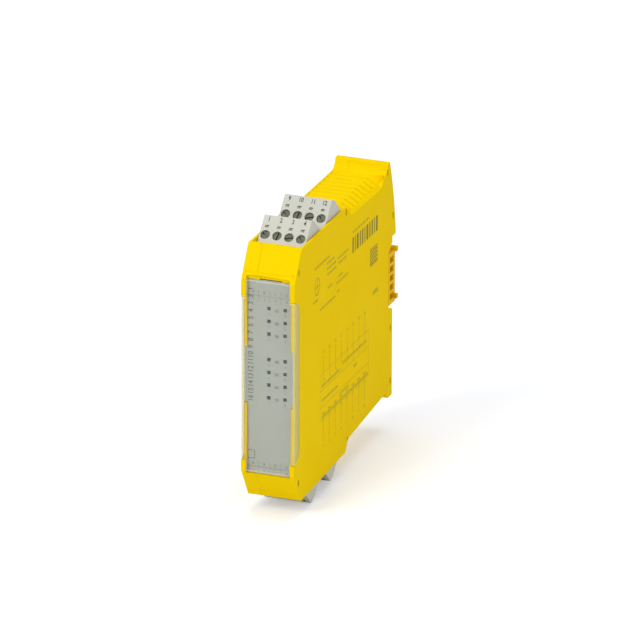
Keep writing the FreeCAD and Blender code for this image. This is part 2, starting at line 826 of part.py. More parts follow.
def make_capacitors():
    cans = []
    for height in (-capacitor_height, capacitor_height):
        start = place(board_face_x, capacitor_depth, height)
        cans.append(Part.makeCylinder(capacitor_radius, capacitor_length, start,
                                      FreeCAD.Vector(1, 0, 0)))
    return Part.makeCompound(cans)


def make_control_chips():
    return Part.makeCompound([on_board(chip_depth, height, chip_size, chip_size, chip_thickness)
                              for height in (-chip_height, chip_height)])


# Latch foot

def make_foot_latch():
    """Sliding foot: T-shaped shank, window for the spring, and the arm under the rail."""
    top = rail_bottom - foot_below_rail
    shank = block(-foot_half_width, foot_half_width, foot_front, foot_neck_front,
                  -foot_block_bottom, top)
    neck = block(-foot_neck_half_width, foot_neck_half_width, foot_neck_front, foot_back,
                 -foot_block_bottom, top)
    arm = block(-foot_neck_half_width, foot_neck_half_width, foot_back, foot_tip_back,
                top - foot_arm_height, top)
    tip = block(-foot_neck_half_width, foot_neck_half_width, rail_depth + flange_room,
                foot_tip_back, top - foot_tip_length, top + foot_tip_height)
    window = block(-foot_window_half_width, foot_window_half_width, foot_front - past,
                   foot_back + past, -foot_window_bottom,
                   foot_window_height - foot_window_bottom)
    slot_low = foot_slot_wall - foot_block_bottom
    slot = block(-foot_slot_width / 2, foot_slot_width / 2, foot_front + foot_slot_wall,
                 foot_back + past, slot_low, slot_low + foot_slot_height)
    edge = Part.makeCylinder(foot_tip_height * 2, 4 * foot_half_width,
                             place(-2 * foot_half_width, foot_tip_back + foot_tip_height,
                                   top + foot_tip_height * 2), FreeCAD.Vector(1, 0, 0))
    foot = shank.fuse([neck, arm, tip])
    return foot.cut([window, slot, edge]).removeSplitter()


def make_foot_spring():
    """Square-wire coil between the housing's cleat and the top of the foot's window."""
    half = coil_wire / 2
    low = -foot_window_bottom + foot_play + anchor_height + half
    length = foot_window_height - foot_window_bottom - half - low
    corners = [FreeCAD.Vector(coil_radius + x * half, 0, z * half)
               for x, z in ((-1, -1), (1, -1), (1, 1), (-1, 1), (-1, -1))]
    helix = Part.makeHelix(length / coil_turns, length, coil_radius)
    coil = Part.Wire(helix).makePipeShell([Part.makePolygon(corners)], True, True)
    coil.translate(place(0, (foot_front + foot_back) / 2, low))
    return coil


# Bus connector

def bus_contact_heights():
    span = (bus_contacts_count - 1) / 2
    return [bus_middle + (k - span) * bus_contact_pitch for k in range(bus_contacts_count)]


def make_bus_connector():
    """Connector block: open chambers on its right, snap tabs and the module's slot."""
    low, high = bus_middle - bus_half_height, bus_middle + bus_half_height
    connector = block(-half_width, half_width, bus_front, bus_back, low, high)
    cutters = []
    for top in (bus_middle + bus_tab_upper, bus_middle + bus_tab_lower):
        start, bottom = bus_back - bus_tab_length, top - bus_tab_height
        connector = connector.fuse(block(half_width - bus_tab_root, half_width + bus_tab_reach,
                                         start, bus_back, bottom, top))
        cutters.append(block(-half_width - past, bus_tab_reach + bus_tab_play - half_width,
                             start - bus_tab_play, bus_back + past,
                             bottom - bus_tab_play, top + bus_tab_play))
    half = bus_chamber_height / 2
    for height in bus_contact_heights():
        cutters.append(block(half_width - bus_chamber_deep, half_width + past,
                             bus_chamber_start, bus_chamber_start + bus_chamber_depth,
                             height - half, height + half))
    slot_half = bus_half_height - bus_slot_end
    cutters.append(block(-bus_slot_half_width, bus_slot_half_width, bus_front - past,
                         bus_front + bus_slot_deep, bus_middle - slot_half,
                         bus_middle + slot_half))
    return connector.cut(cutters).removeSplitter()


def make_bus_contacts():
    """Spring blades beside the module's blades, fixed in the slot's floor."""
    near = bus_blade_thickness / 2 + contact_play
    far = bus_slot_half_width
    half = bus_blade_height / 2
    return Part.makeCompound([block(near, far, bus_front + bus_blade_gap,
                                    bus_front + bus_slot_deep,
                                    height - half, height + half)
                              for height in bus_contact_heights()])


def make_bus_header():
    """Carrier on the main board whose blades reach through the rear wall."""
    half = bus_blade_height / 2
    thick = bus_blade_thickness / 2
    header_half = bus_half_height - bus_header_end
    header = block(board_face_x, board_face_x + bus_header_reach,
                   bus_header_back - bus_header_depth, bus_header_back,
                   bus_middle - header_half, bus_middle + header_half)
    tip = bus_front + bus_slot_deep - bus_blade_gap
    blades = [block(-thick, thick, bus_header_back - past, tip, height - half, height + half)
              for height in bus_contact_heights()]
    return header.fuse(blades).removeSplitter()


def make_parts():
    """Every piece by its node name."""
    parts = {
        "housing_body": make_housing_body(),
        "side_cover": make_side_cover(),
        "front_panel": make_front_panel(),
        "clear_cover": make_clear_cover(),
        "light_guide": make_light_guide(),
        "indicator_board": make_indicator_board(),
        "indicator_leds": make_indicator_leds(),
        "main_board": make_main_board(),
        "relay_upper": make_relay(relay_height),
        "relay_lower": make_relay(-relay_height),
        "transformer": make_transformer(),
        "capacitors": make_capacitors(),
        "control_chips": make_control_chips(),
        "foot_latch": make_foot_latch(),
        "foot_spring": make_foot_spring(),
        "bus_connector": make_bus_connector(),
        "bus_contacts": make_bus_contacts(),
        "bus_header": make_bus_header(),
    }
    pieces = {"plug": make_plug(), "plug_screws": make_plug_screws(),
              "plug_clamps": make_plug_clamps(), "header": make_header()}
    for lower, level in ((False, "upper"), (True, "lower")):
        for row, position in enumerate(("front", "rear")):
            for kind, shape in pieces.items():
                parts[f"{kind}_{level}_{position}"] = seat(shape, row, lower)
            parts[f"header_pins_{level}_{position}"] = seat(make_header_pins(lower), row, lower)
    return parts


os.makedirs("parts", exist_ok=True)
for name, shape in make_parts().items():
    shape.exportStep(f"parts/{name}.step")
    box = shape.BoundBox
    print(f"{name:28s} solids {len(shape.Solids):2d} volume {shape.Volume:9.1f} "
          f"valid {shape.isValid()} x {box.XMin:.1f}..{box.XMax:.1f} "
          f"y {box.YMin:.1f}..{box.YMax:.1f} z {box.ZMin:.1f}..{box.ZMax:.1f}")
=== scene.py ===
import math
from itertools import cycle

import bmesh
import bpy
import numpy as np
from mathutils import Matrix, Vector


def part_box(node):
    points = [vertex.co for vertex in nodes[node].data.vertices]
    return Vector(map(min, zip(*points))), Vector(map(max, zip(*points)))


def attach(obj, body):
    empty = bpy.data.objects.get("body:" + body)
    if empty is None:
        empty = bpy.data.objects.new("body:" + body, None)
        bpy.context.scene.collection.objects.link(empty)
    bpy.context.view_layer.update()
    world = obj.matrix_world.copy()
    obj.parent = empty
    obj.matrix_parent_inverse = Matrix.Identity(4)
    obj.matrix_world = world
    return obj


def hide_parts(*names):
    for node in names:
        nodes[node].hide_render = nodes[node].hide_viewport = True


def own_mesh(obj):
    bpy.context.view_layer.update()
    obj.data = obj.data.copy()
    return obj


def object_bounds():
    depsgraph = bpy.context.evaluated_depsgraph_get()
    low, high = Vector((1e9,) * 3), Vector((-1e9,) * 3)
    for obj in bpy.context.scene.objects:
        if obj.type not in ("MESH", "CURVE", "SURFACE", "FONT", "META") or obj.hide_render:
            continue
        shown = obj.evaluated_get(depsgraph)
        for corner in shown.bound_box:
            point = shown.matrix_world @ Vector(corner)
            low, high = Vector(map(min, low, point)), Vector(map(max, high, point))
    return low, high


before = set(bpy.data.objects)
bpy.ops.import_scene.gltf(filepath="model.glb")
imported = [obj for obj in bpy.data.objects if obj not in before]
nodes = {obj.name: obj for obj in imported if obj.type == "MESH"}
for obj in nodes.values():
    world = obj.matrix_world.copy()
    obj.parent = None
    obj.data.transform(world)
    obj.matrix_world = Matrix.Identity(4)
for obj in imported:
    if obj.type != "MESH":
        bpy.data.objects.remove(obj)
cadBounds = [list(corner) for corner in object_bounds()]
mm = 0.001


# sRGB hex to linear light
def hexColour(text):
    parts = [int(text[i:i + 2], 16) / 255 for i in (0, 2, 4)]
    return tuple(p / 12.92 if p <= 0.04045 else ((p + 0.055) / 1.055) ** 2.4 for p in parts) + (1.0,)


# one node with its settings and links: links are {socket: (node, output)}, other values are set
def addNode(tree, kind, values=None, links=None, **settings):
    node = tree.nodes.new(kind)
    for name, value in settings.items():
        setattr(node, name, value)
    for socket, value in (values or {}).items():
        node.inputs[socket].default_value = value
    for socket, (source, output) in (links or {}).items():
        tree.links.new(source.outputs[output], node.inputs[socket])
    return node


def newMaterial(name):
    material = bpy.data.materials.new(name)
    material.use_nodes = True
    material.node_tree.nodes.clear()
    return material, material.node_tree


def finishMaterial(tree, shader):
    addNode(tree, "ShaderNodeOutputMaterial", links={"Surface": (shader, 0)})


# a mesh, lamp or camera as an object in the scene
def addObject(name, data):
    item = bpy.data.objects.new(name, data)
    bpy.context.scene.collection.objects.link(item)
    return item


# moulded plastic: sizes in mm, and how much duller or glossier the drift makes it
plastic = {"driftWide": 18, "grainDeep": 0.006, "glossier": 0.04, "duller": 0.06, "ior": 1.5}


# a spark-eroded tool leaves a fine even grain, and colour drifts slightly over the part
def mouldedPlastic(name, colour, drift, grainMm=0.16, roughness=0.5, specular=0.4):
    material, tree = newMaterial(name)
    place = addNode(tree, "ShaderNodeTexCoord")
    cloud = addNode(tree, "ShaderNodeTexNoise", {"Scale": 1 / (plastic["driftWide"] * mm), "Detail": 3.0},
                    {"Vector": (place, "Object")})
    tone = addNode(tree, "ShaderNodeMix", {"A": hexColour(colour), "B": hexColour(drift)},
                   {"Factor": (cloud, "Fac")}, data_type="RGBA")
    grain = addNode(tree, "ShaderNodeTexVoronoi", {"Scale": 1 / (grainMm * mm), "Randomness": 1.0},
                    {"Vector": (place, "Object")})
    bump = addNode(tree, "ShaderNodeBump", {"Strength": 0.5, "Distance": plastic["grainDeep"] * mm},
                   {"Height": (grain, "Distance")})
    sheen = addNode(tree, "ShaderNodeMapRange",
                    {"From Min": 0.3, "From Max": 0.7,
                     "To Min": roughness - plastic["glossier"], "To Max": roughness + plastic["duller"]},
                    {"Value": (cloud, "Fac")})
    shader = addNode(tree, "ShaderNodeBsdfPrincipled",
                     {"Specular IOR Level": specular, "IOR": plastic["ior"]},
                     {"Base Color": (tone, "Result"), "Roughness": (sheen, "Result"),
                      "Normal": (bump, "Normal")})
    finishMaterial(tree, shader)
    return material


# pad-printed ink: a dull film, broken up a little by the plastic's grain over this many mm
inkFilm = {"breaksWide": 0.3, "specular": 0.15, "ior": 1.5, "roughness": 0.6}


def printedInk(name, colour, thin):
    material, tree = newMaterial(name)
    place = addNode(tree, "ShaderNodeTexCoord")
    breaks = addNode(tree, "ShaderNodeTexNoise", {"Scale": 1 / (inkFilm["breaksWide"] * mm), "Detail": 2.0},
                     {"Vector": (place, "Object")})
    tone = addNode(tree, "ShaderNodeMix", {"A": hexColour(colour), "B": hexColour(thin)},
                   {"Factor": (breaks, "Fac")}, data_type="RGBA")
    shader = addNode(tree, "ShaderNodeBsdfPrincipled",
                     {"Specular IOR Level": inkFilm["specular"], "IOR": inkFilm["ior"],
                      "Roughness": inkFilm["roughness"]},
                     {"Base Color": (tone, "Result")})
    finishMaterial(tree, shader)
    return material


# clear polycarbonate: its index, and how deep the flow of the moulding waves its surface, in mm
clearPlastic = {"ior": 1.58, "waveDeep": 0.05, "wave": 0.15}


# polished: see-through square on, and a pale veil where it is seen at a slant
def clearPolycarbonate(name, colour, veilMm, square, slanted, steep, roughness):
    material, tree = newMaterial(name)
    place = addNode(tree, "ShaderNodeTexCoord")
    flow = addNode(tree, "ShaderNodeTexNoise", {"Scale": 1 / (veilMm * mm), "Detail": 1.0},
                   {"Vector": (place, "Object")})
    bump = addNode(tree, "ShaderNodeBump",
                   {"Strength": clearPlastic["wave"], "Distance": clearPlastic["waveDeep"] * mm},
                   {"Height": (flow, "Fac")})
    slant = addNode(tree, "ShaderNodeFresnel", {"IOR": clearPlastic["ior"]})
    veil = addNode(tree, "ShaderNodeMapRange", {"From Max": steep, "To Min": square, "To Max": slanted},
                   {"Value": (slant, "Fac")})
    shader = addNode(tree, "ShaderNodeBsdfPrincipled",
                     {"Base Color": hexColour(colour), "Roughness": roughness, "IOR": clearPlastic["ior"]},
                     {"Normal": (bump, "Normal"), "Alpha": (veil, "Result")})
    finishMaterial(tree, shader)
    return material


# plated metal: width and depth of its turning marks in mm, and how far they spread the gloss
plating = {"marksWide": 0.15, "marksDeep": 0.01, "spread": 0.08}


# zinc-plated or tinned metal: bright, with fine turning marks
def platedMetal(name, colour, roughness):
    material, tree = newMaterial(name)
    place = addNode(tree, "ShaderNodeTexCoord")
    marks = addNode(tree, "ShaderNodeTexNoise", {"Scale": 1 / (plating["marksWide"] * mm), "Detail": 2.0},
                    {"Vector": (place, "Object")})
    tone = addNode(tree, "ShaderNodeMapRange",
                   {"From Min": 0.3, "From Max": 0.7,
                    "To Min": roughness - plating["spread"], "To Max": roughness + plating["spread"]},
                   {"Value": (marks, "Fac")})
    bump = addNode(tree, "ShaderNodeBump", {"Strength": 0.3, "Distance": plating["marksDeep"] * mm},
                   {"Height": (marks, "Fac")})
    shader = addNode(tree, "ShaderNodeBsdfPrincipled", {"Base Color": hexColour(colour), "Metallic": 1.0},
                     {"Roughness": (tone, "Result"), "Normal": (bump, "Normal")})
    finishMaterial(tree, shader)
    return material


materials = {
    # yellow polyamide, satin, with a slightly deeper drift of colour
    "yellowPolyamide": mouldedPlastic("yellowPolyamide", "EFCD02", "ECC800", roughness=0.6, specular=0.015),
    # the same yellow polyamide on the latch hooks, darkened to orange-brown as painted shade deep in their
    # windows
    "paintedShadePolyamide": mouldedPlastic("paintedShadePolyamide", "8A5A06", "7E5205", roughness=0.6, specular=0.02),
    # the bus connector's warmer orange polyamide
    "orangePolyamide": mouldedPlastic("orangePolyamide", "ECBE04", "E6B202", roughness=0.5, specular=0.08),
    # warm light grey polyamide of the plugs
    "greyPolyamide": mouldedPlastic("greyPolyamide", "C6C6BC", "BFBFB4", roughness=0.5, specular=0.2),
    # grey-green lacquered panel behind the cover
    "panelGrey": mouldedPlastic("panelGrey", "B1B5AB", "ABB0A5", grainMm=0.25, roughness=0.55, specular=0.3),
    # black moulded plastic of the lights' windows, foot and chips
    "blackPlastic": mouldedPlastic("blackPlastic", "232522", "1C1E1C", roughness=0.35, specular=0.4),
    # smoked polycarbonate light pipes: nearly black and smooth
    "smokedLens": mouldedPlastic("smokedLens", "2C302C", "242823", grainMm=0.5, roughness=0.15, specular=0.5),
    # glossy green solder resist on the boards
    "solderResist": mouldedPlastic("solderResist", "1F5A33", "1A4F2C", roughness=0.3, specular=0.5),
    # white glass-filled polyester of the relays' cases
    "whiteCase": mouldedPlastic("whiteCase", "DCDCD4", "D6D6CE", roughness=0.35, specular=0.4),
    # dull dark grey ferrite of the transformer
    "ferrite": mouldedPlastic("ferrite", "3A3836", "302E2C", roughness=0.6, specular=0.3),
    # milky epoxy of the unlit lamps
    "milkyLamp": mouldedPlastic("milkyLamp", "D8D8C8", "CFCFBE", roughness=0.3, specular=0.4),
    # the cover's clear polycarbonate: almost nothing shows of it square on
    "clearPolycarbonate": clearPolycarbonate("clearPolycarbonate", "EEF0EA", 30, 0.02, 0.3, 1.0, 0.08),
    # the same polycarbonate at its rims, with a whiter veil: a painted highlight for light led along the wall
    # coming out
    "clearRimHighlight": clearPolycarbonate("clearRimHighlight", "EEF0EA", 8, 0.25, 0.5, 1.0, 0.2),
    # its sides are tinted yellow: a painted reflection of the housing's yellow, which they pick up and carry
    # along inside the wall to their rims, where it is painted brighter
    "paintedYellowSide": clearPolycarbonate("paintedYellowSide", "D9CE50", 20, 0.05, 0.5, 0.2, 0.1),
    "paintedYellowSideRim": clearPolycarbonate("paintedYellowSideRim", "E1D97E", 8, 0.6, 0.8, 0.4, 0.2),
    # zinc-plated steel reads as dull silver, darkened here partly by painted shade of the screws' deep holes;
    # tinned brass as pale gold-grey
    "zincSteelShaded": platedMetal("zincSteelShaded", "5A5E52", 0.38),
    "tinnedBrass": platedMetal("tinnedBrass", "BDB296", 0.35),
    # bare aluminium cans of the capacitors
    "aluminiumCan": platedMetal("aluminiumCan", "B4B6B8", 0.3),
    # dark ink on the plugs, faint grey ink on the panel and olive ink on the yellow plate
    "blackInk": printedInk("blackInk", "2A2C2A", "3C3E3C"),
    "greyInk": printedInk("greyInk", "6C726A", "7A8077"),
    "oliveInk": printedInk("oliveInk", "A8920E", "B79F0A"),
    "bronzeInk": printedInk("bronzeInk", "7C7018", "8C7E12"),
}

# which finish each node takes, by the start of its name
finishes = [
    ("housing_body", "yellowPolyamide"), ("side_cover", "yellowPolyamide"),
    ("front_panel", "panelGrey"), ("clear_cover", "clearPolycarbonate"),
    ("light_guide", "smokedLens"), ("indicator_board", "solderResist"), ("indicator_leds", "milkyLamp"),
    ("main_board", "solderResist"), ("relay_", "whiteCase"), ("transformer", "ferrite"),
    ("capacitors", "aluminiumCan"), ("control_chips", "blackPlastic"), ("foot_latch", "blackPlastic"),
    ("foot_spring", "zincSteelShaded"), ("bus_connector", "orangePolyamide"), ("bus_contacts", "tinnedBrass"),
    ("bus_header", "blackPlastic"), ("plug_screws", "zincSteelShaded"), ("plug_clamps", "tinnedBrass"),
    ("header_pins", "tinnedBrass"), ("header_", "greyPolyamide"), ("plug_", "greyPolyamide"),
]


def finishFor(name):
    return next(materials[finish] for start, finish in finishes if name.startswith(start))


for name, node in nodes.items():
    node.data.materials.clear()
    node.data.materials.append(finishFor(name))
print("materials on", len(nodes), "nodes")

# places on the plate are depth behind the front and height above the middle, both in mm:
# y is depth less frontDepth, and z is height less railHeight
frontDepth, railHeight = 110, 5

# latch windows in the right plate, with half their opening; the plate lies beyond this x
windows = {"places": ((4.7, 44.2), (57.0, 51.2), (103.9, 51.8), (110.3, 31.6), (108.0, -15.9), (108.0, -38.7),
                      (59.4, -46.2), (4.7, -44.2)),
           "half": (0.6, 1.4), "from": 8.5}

# limits in degrees: above corner an edge is sharp, above bend it is part of a curve, and under flat two
# faces are one. The others are in mm: larger faces than patch (squared) stay flat, and from railFrom back,
# round the rail hooks, short edges are rolled too
rolling = {"corner": 28, "bend": 1.5, "flat": 1.0, "patch": 12, "railFrom": -20, "merged": 0.002,
           "atSeam": 0.02, "offSeam": 0.3, "segments": 3}

# moulded pieces whose long outer edges are rounded over, as the mould leaves them. Sizes are in mm; seam
# is the x where the CAD mesh has the parting line, and closed is the x that makes its groove a hairline
housing = {"body": "module", "slot": "housing", "radius": 0.35, "shortest": 3.2, "shortestBehind": 0.9}
rounded = {
    "housingBody": {"node": "housing_body", "seam": -5.05, "closed": -5.05, **housing},
    "sideCover": {"node": "side_cover", "seam": -5.3, "closed": -5.13, **housing},
    "frontPanel": {"node": "front_panel", "body": "module", "slot": "panel", "radius": 0.15, "shortest": 2.5},
    "clearCover": {"node": "clear_cover", "body": "cover", "slot": "clear", "radius": 0.2, "shortest": 2.0,
                   "finishes": ("clearRimHighlight", "paintedYellowSide", "paintedYellowSideRim"),
                   "rimWidth": 1.15, "sideFrom": 9.3, "sideways": 0.7},
    "busConnector": {"node": "bus_connector", "body": "bus", "slot": "bus", "radius": 0.15, "shortest": 1.2},
    "footLatch": {"node": "foot_latch", "body": "foot", "slot": "foot", "radius": 0.25, "shortest": 1.5},
}
plugRows = (("upper", "front"), ("upper", "rear"), ("lower", "front"), ("lower", "rear"))
for level, row in plugRows:
    rounded[f"plug{level.capitalize()}{row.capitalize()}"] = {
        "node": f"plug_{level}_{row}", "body": f"plug_{level}_{row}", "slot": "plug",
        "radius": 0.2, "shortest": 2.0}


# true where a point lies in one of the latch windows
def inWindow(point):
    x, y, z = point / mm
    wide, tall = windows["half"]
    return x > windows["from"] and any(
        abs(y + frontDepth - depth) < wide and abs(z + railHeight - height) < tall
        for depth, height in windows["places"])


# true for a long convex edge that isn't on the parting line or round a window
def isRolled(edge, size):
    onSeam = "seam" in size and all(
        abs(vertex.co.x / mm - size["closed"]) < rolling["offSeam"] for vertex in edge.verts)
    atRail = "shortestBehind" in size and all(vertex.co.y / mm > rolling["railFrom"] for vertex in edge.verts)
    shortest = size["shortestBehind"] if atRail else size["shortest"]
    return (math.degrees(edge.calc_face_angle_signed(0.0)) > rolling["corner"] and not onSeam
            and edge.calc_length() > shortest * mm and not any(inWindow(vertex.co) for vertex in edge.verts))


# which of the cover's finishes a face takes: 0 skin, 1 rim with its painted highlight, 2 side with its
# painted yellow reflection, 3 rim of a side with its brighter painted yellow
def coverFinish(face, size):
    rim = face.calc_area() / max(edge.calc_length() for edge in face.edges) < size["rimWidth"] * mm
    if abs(face.calc_center_median().x) <= size["sideFrom"] * mm:
        return int(rim)
    if rim:
        return 3
    return 2 if abs(face.normal.x) > size["sideways"] else 0


# the node's surface with its flat faces joined up and each long convex edge rolled over a quarter circle
def makeRounded(name, size):
    shape = bmesh.new()
    shape.from_mesh(nodes[size["node"]].data)
    bmesh.ops.remove_doubles(shape, verts=shape.verts, dist=rolling["merged"] * mm)
    bmesh.ops.dissolve_limit(shape, angle_limit=math.radians(rolling["flat"]), verts=shape.verts,
                             edges=shape.edges)
    if "seam" in size:
        for vertex in shape.verts:
            if abs(vertex.co.x / mm - size["seam"]) < rolling["atSeam"]:
                vertex.co.x = size["closed"] * mm
    curved = set()
    for edge in shape.edges:
        angle = abs(math.degrees(edge.calc_face_angle_signed(0.0)))
        edge.smooth = angle < rolling["corner"]
        if rolling["bend"] < angle < rolling["corner"]:
            curved.update(face for face in edge.link_faces if face.calc_area() < rolling["patch"] * mm * mm)
    for face in shape.faces:
        face.smooth = face in curved
    edges = [edge for edge in shape.edges if isRolled(edge, size)]
    rolls = bmesh.ops.bevel(shape, geom=edges, offset=size["radius"] * mm, offset_type="OFFSET",
                            segments=rolling["segments"], profile=0.5, affect="EDGES", clamp_overlap=False,
                            material=-1, loop_slide=True)
    for face in rolls["faces"]:
        face.smooth = True
    if "finishes" in size:
        shape.normal_update()
        for face in shape.faces:
            face.material_index = coverFinish(face, size)
    mesh = bpy.data.meshes.new(name)
    shape.to_mesh(mesh)
    shape.free()
    mesh.materials.append(finishFor(size["node"]))
    for finish in size.get("finishes", ()):
        mesh.materials.append(materials[finish])
    piece = addObject(name, mesh)
    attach(piece, size["body"])
    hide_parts(size["node"])


for name, size in rounded.items():
    makeRounded(name, size)
print("rounded", len(rounded), "moulded pieces")

# the latch foot's spring stands on its fixed lower end, travel in mm
spring = {"node": "foot_spring", "travel": 3.0}


def makeSpring():
    shape = bmesh.new()
    shape.from_mesh(nodes[spring["node"]].data)
    bmesh.ops.remove_doubles(shape, verts=shape.verts, dist=rolling["merged"] * mm)
    for face in shape.faces:
        face.smooth = True
    mesh = bpy.data.meshes.new("latchSpring")
    shape.to_mesh(mesh)
    shape.free()
    mesh.materials.append(finishFor(spring["node"]))
    piece = addObject("latchSpring", mesh)
    low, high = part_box(spring["node"])
    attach(piece, "module")
    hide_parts(spring["node"])
    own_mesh(piece)


makeSpring()
print("latch spring ready")

# latch hooks of the side cover, seen in the windows of the right plate: sizes in mm
hooks = {"half": (0.42, 0.52, 1.27), "below": 0.25, "merged": 0.001, "steps": 13, "square": 0.22}


# each hook is a rounded block: along latitude and longitude, every coordinate is its half size times
# the sine or cosine raised to a small power, which squares the ball off
def makeHooks():
    steps = hooks["steps"]
    latitude = np.linspace(-math.pi / 2, math.pi / 2, steps)[:, None]
    longitude = np.linspace(0, 2 * math.pi, 2 * steps, endpoint=False)[None, :]

    def squared(value):
        return np.sign(value) * np.abs(value) ** hooks["square"]

    ball = np.stack([squared(np.sin(latitude)) + 0 * longitude,
                     squared(np.cos(latitude)) * squared(np.cos(longitude)),
                     squared(np.cos(latitude)) * squared(np.sin(longitude))], 2).reshape(-1, 3)
    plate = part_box("housing_body")[1][0] / mm
    places = np.array([(plate - hooks["below"] - hooks["half"][0], depth - frontDepth, height - railHeight)
                       for depth, height in windows["places"]])
    points = (places[:, None, :] + ball[None] * hooks["half"]).reshape(-1, 3) * mm
    row, column = np.meshgrid(np.arange(steps - 1), np.arange(2 * steps), indexing="ij")
    after = (column + 1) % (2 * steps)
    quads = np.stack([row * 2 * steps + column, row * 2 * steps + after,
                      (row + 1) * 2 * steps + after, (row + 1) * 2 * steps + column], 2).reshape(-1, 4)
    quads = (quads[None] + len(ball) * np.arange(len(places))[:, None, None]).reshape(-1, 4)
    mesh = bpy.data.meshes.new("latchHooks")
    mesh.from_pydata(points.tolist(), [], quads.tolist())
    shape = bmesh.new()
    shape.from_mesh(mesh)
    bmesh.ops.remove_doubles(shape, verts=shape.verts, dist=hooks["merged"] * mm)
    bmesh.ops.recalc_face_normals(shape, faces=shape.faces)
    for face in shape.faces:
        face.smooth = True
    shape.to_mesh(mesh)
    shape.free()
    # the hooks' dark orange-brown is painted shade: the yellow polyamide as it looks in the shade of its
    # window
    mesh.materials.append(materials["paintedShadePolyamide"])
    piece = addObject("latchHooks", mesh)
    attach(piece, "module")


makeHooks()
print("latch hooks in", len(windows["places"]), "windows")

# print: thin films of ink on a flat face, drawn as bars, rings and plain numbers, sizes in mm
ink = {"thick": 0.02, "sink": 0.005}
letterCache = {}


# corners of every bar at once: each row is x0, y0, x1, y1, width, and a bar is a box along its line
def barCorners(bars):
    rows = np.array(bars, float)
    start, end, width = rows[:, 0:2], rows[:, 2:4], rows[:, 4:5]
    along = end - start
    length = np.linalg.norm(along, axis=1, keepdims=True)
    across = np.stack([-along[:, 1], along[:, 0]], 1) / length * width / 2
    flat = np.stack([start - across, end - across, end + across, start + across], 1)
    low = np.concatenate([flat, np.full(flat.shape[:2] + (1,), -ink["sink"])], 2)
    high = np.concatenate([flat, np.full(flat.shape[:2] + (1,), ink["thick"])], 2)
    points = np.concatenate([low, high], 1).reshape(-1, 3)
    box = np.array([(0, 3, 2, 1), (4, 5, 6, 7), (0, 1, 5, 4), (1, 2, 6, 5), (2, 3, 7, 6), (3, 0, 4, 7)])
    faces = (box[None] + 8 * np.arange(len(rows))[:, None, None]).reshape(-1, 4)
    return points, faces.tolist()


# a ring as short bars: the angle runs once round, and neighbours share their ends
def ringBars(x, y, radiusX, radiusY, width, steps=28):
    turn = np.linspace(0, 2 * math.pi, steps + 1)
    px, py = x + radiusX * np.cos(turn), y + radiusY * np.sin(turn)
    return [tuple(row) + (width,) for row in np.stack([px[:-1], py[:-1], px[1:], py[1:]], 1)]


# a run of print too small to read: short dashes of changing length along one line
dashes = {"lengths": (1.1, 0.7, 1.5, 0.5, 0.9, 1.3), "gap": 0.45}


def dashRun(x0, x1, y, height):
    bars, x, lengths = [], x0, cycle(dashes["lengths"])
    while x < x1:
        length = min(next(lengths), x1 - x)
        bars.append((x, y, x + length, y, height))
        x = x + length + dashes["gap"]
    return bars


# numbers as outlines: steps round a curve, and how thick and how much bolder they are, as shares of height
letters = {"steps": 4, "thick": 0.05, "bolder": 0.02}


# plain numbers, one unit tall and centred, with their top face at 1 and their bottom face at 0
def letterMesh(text):
    if text not in letterCache:
        curve = bpy.data.curves.new("letters", "FONT")
        curve.body, curve.align_x, curve.resolution_u = text, "CENTER", letters["steps"]
        curve.extrude, curve.offset = letters["thick"], letters["bolder"]
        holder = addObject("letters", curve)
        bpy.context.view_layer.update()
        solved = holder.evaluated_get(bpy.context.evaluated_depsgraph_get())
        mesh = bpy.data.meshes.new_from_object(solved)
        points = np.zeros(len(mesh.vertices) * 3)
        mesh.vertices.foreach_get("co", points)
        points = points.reshape(-1, 3)
        low, high = points.min(0), points.max(0)
        points = (points - (low + high) / 2) / (high[1] - low[1])
        points[:, 2] = np.where(points[:, 2] > 0, 1.0, 0.0)
        letterCache[text] = points, [tuple(face.vertices) for face in mesh.polygons]
        bpy.data.objects.remove(holder)
        bpy.data.curves.remove(curve)
        bpy.data.meshes.remove(mesh)
    return letterCache[text]


# one print: bars (x0, y0, x1, y1, width) and numbers (text, x, y, height, squeeze, turn) in mm on a face
def makePrint(name, body, finish, face, bars, numbers):
    origin, right, up = (np.array(v, float) for v in face)
    points, faces = barCorners(bars) if bars else (np.zeros((0, 3)), [])
    parts, count = [points], len(points)
    for text, x, y, height, squeeze, turn in numbers:
        shape, outline = letterMesh(text)
        cos, sin = math.cos(math.radians(turn)), math.sin(math.radians(turn))
        flat = shape[:, :2] * (height * squeeze, height)
        placed = np.stack([x + flat[:, 0] * cos - flat[:, 1] * sin, y + flat[:, 0] * sin + flat[:, 1] * cos,
                           shape[:, 2] * (ink["thick"] + ink["sink"]) - ink["sink"]], 1)
        parts.append(placed)
        faces += [tuple(i + count for i in ring) for ring in outline]
        count += len(placed)
    flat = np.concatenate(parts) * mm
    world = origin + flat @ np.stack([right, up, np.cross(right, up)])
    mesh = bpy.data.meshes.new(name)
    mesh.from_pydata(world.tolist(), [], faces)
    mesh.materials.append(materials[finish])
    piece = addObject(name, mesh)
    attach(piece, body)


# plug numbers: one over each screw, with a small mark of three strokes and a bar between number and screw
plugPrint = {"poles": 4, "pitch": 4.975, "number": 2.05, "squeeze": 0.72, "numberDown": 1.7,
             "markDown": 5.0, "mark": (1.5, 0.95), "strokes": (-0.5, -0.12, 0.2), "stroke": 0.28,
             "faceDeep": 0.05}
plugNumbers = {("upper", "front"): 1, ("lower", "front"): 5, ("upper", "rear"): 9, ("lower", "rear"): 13}


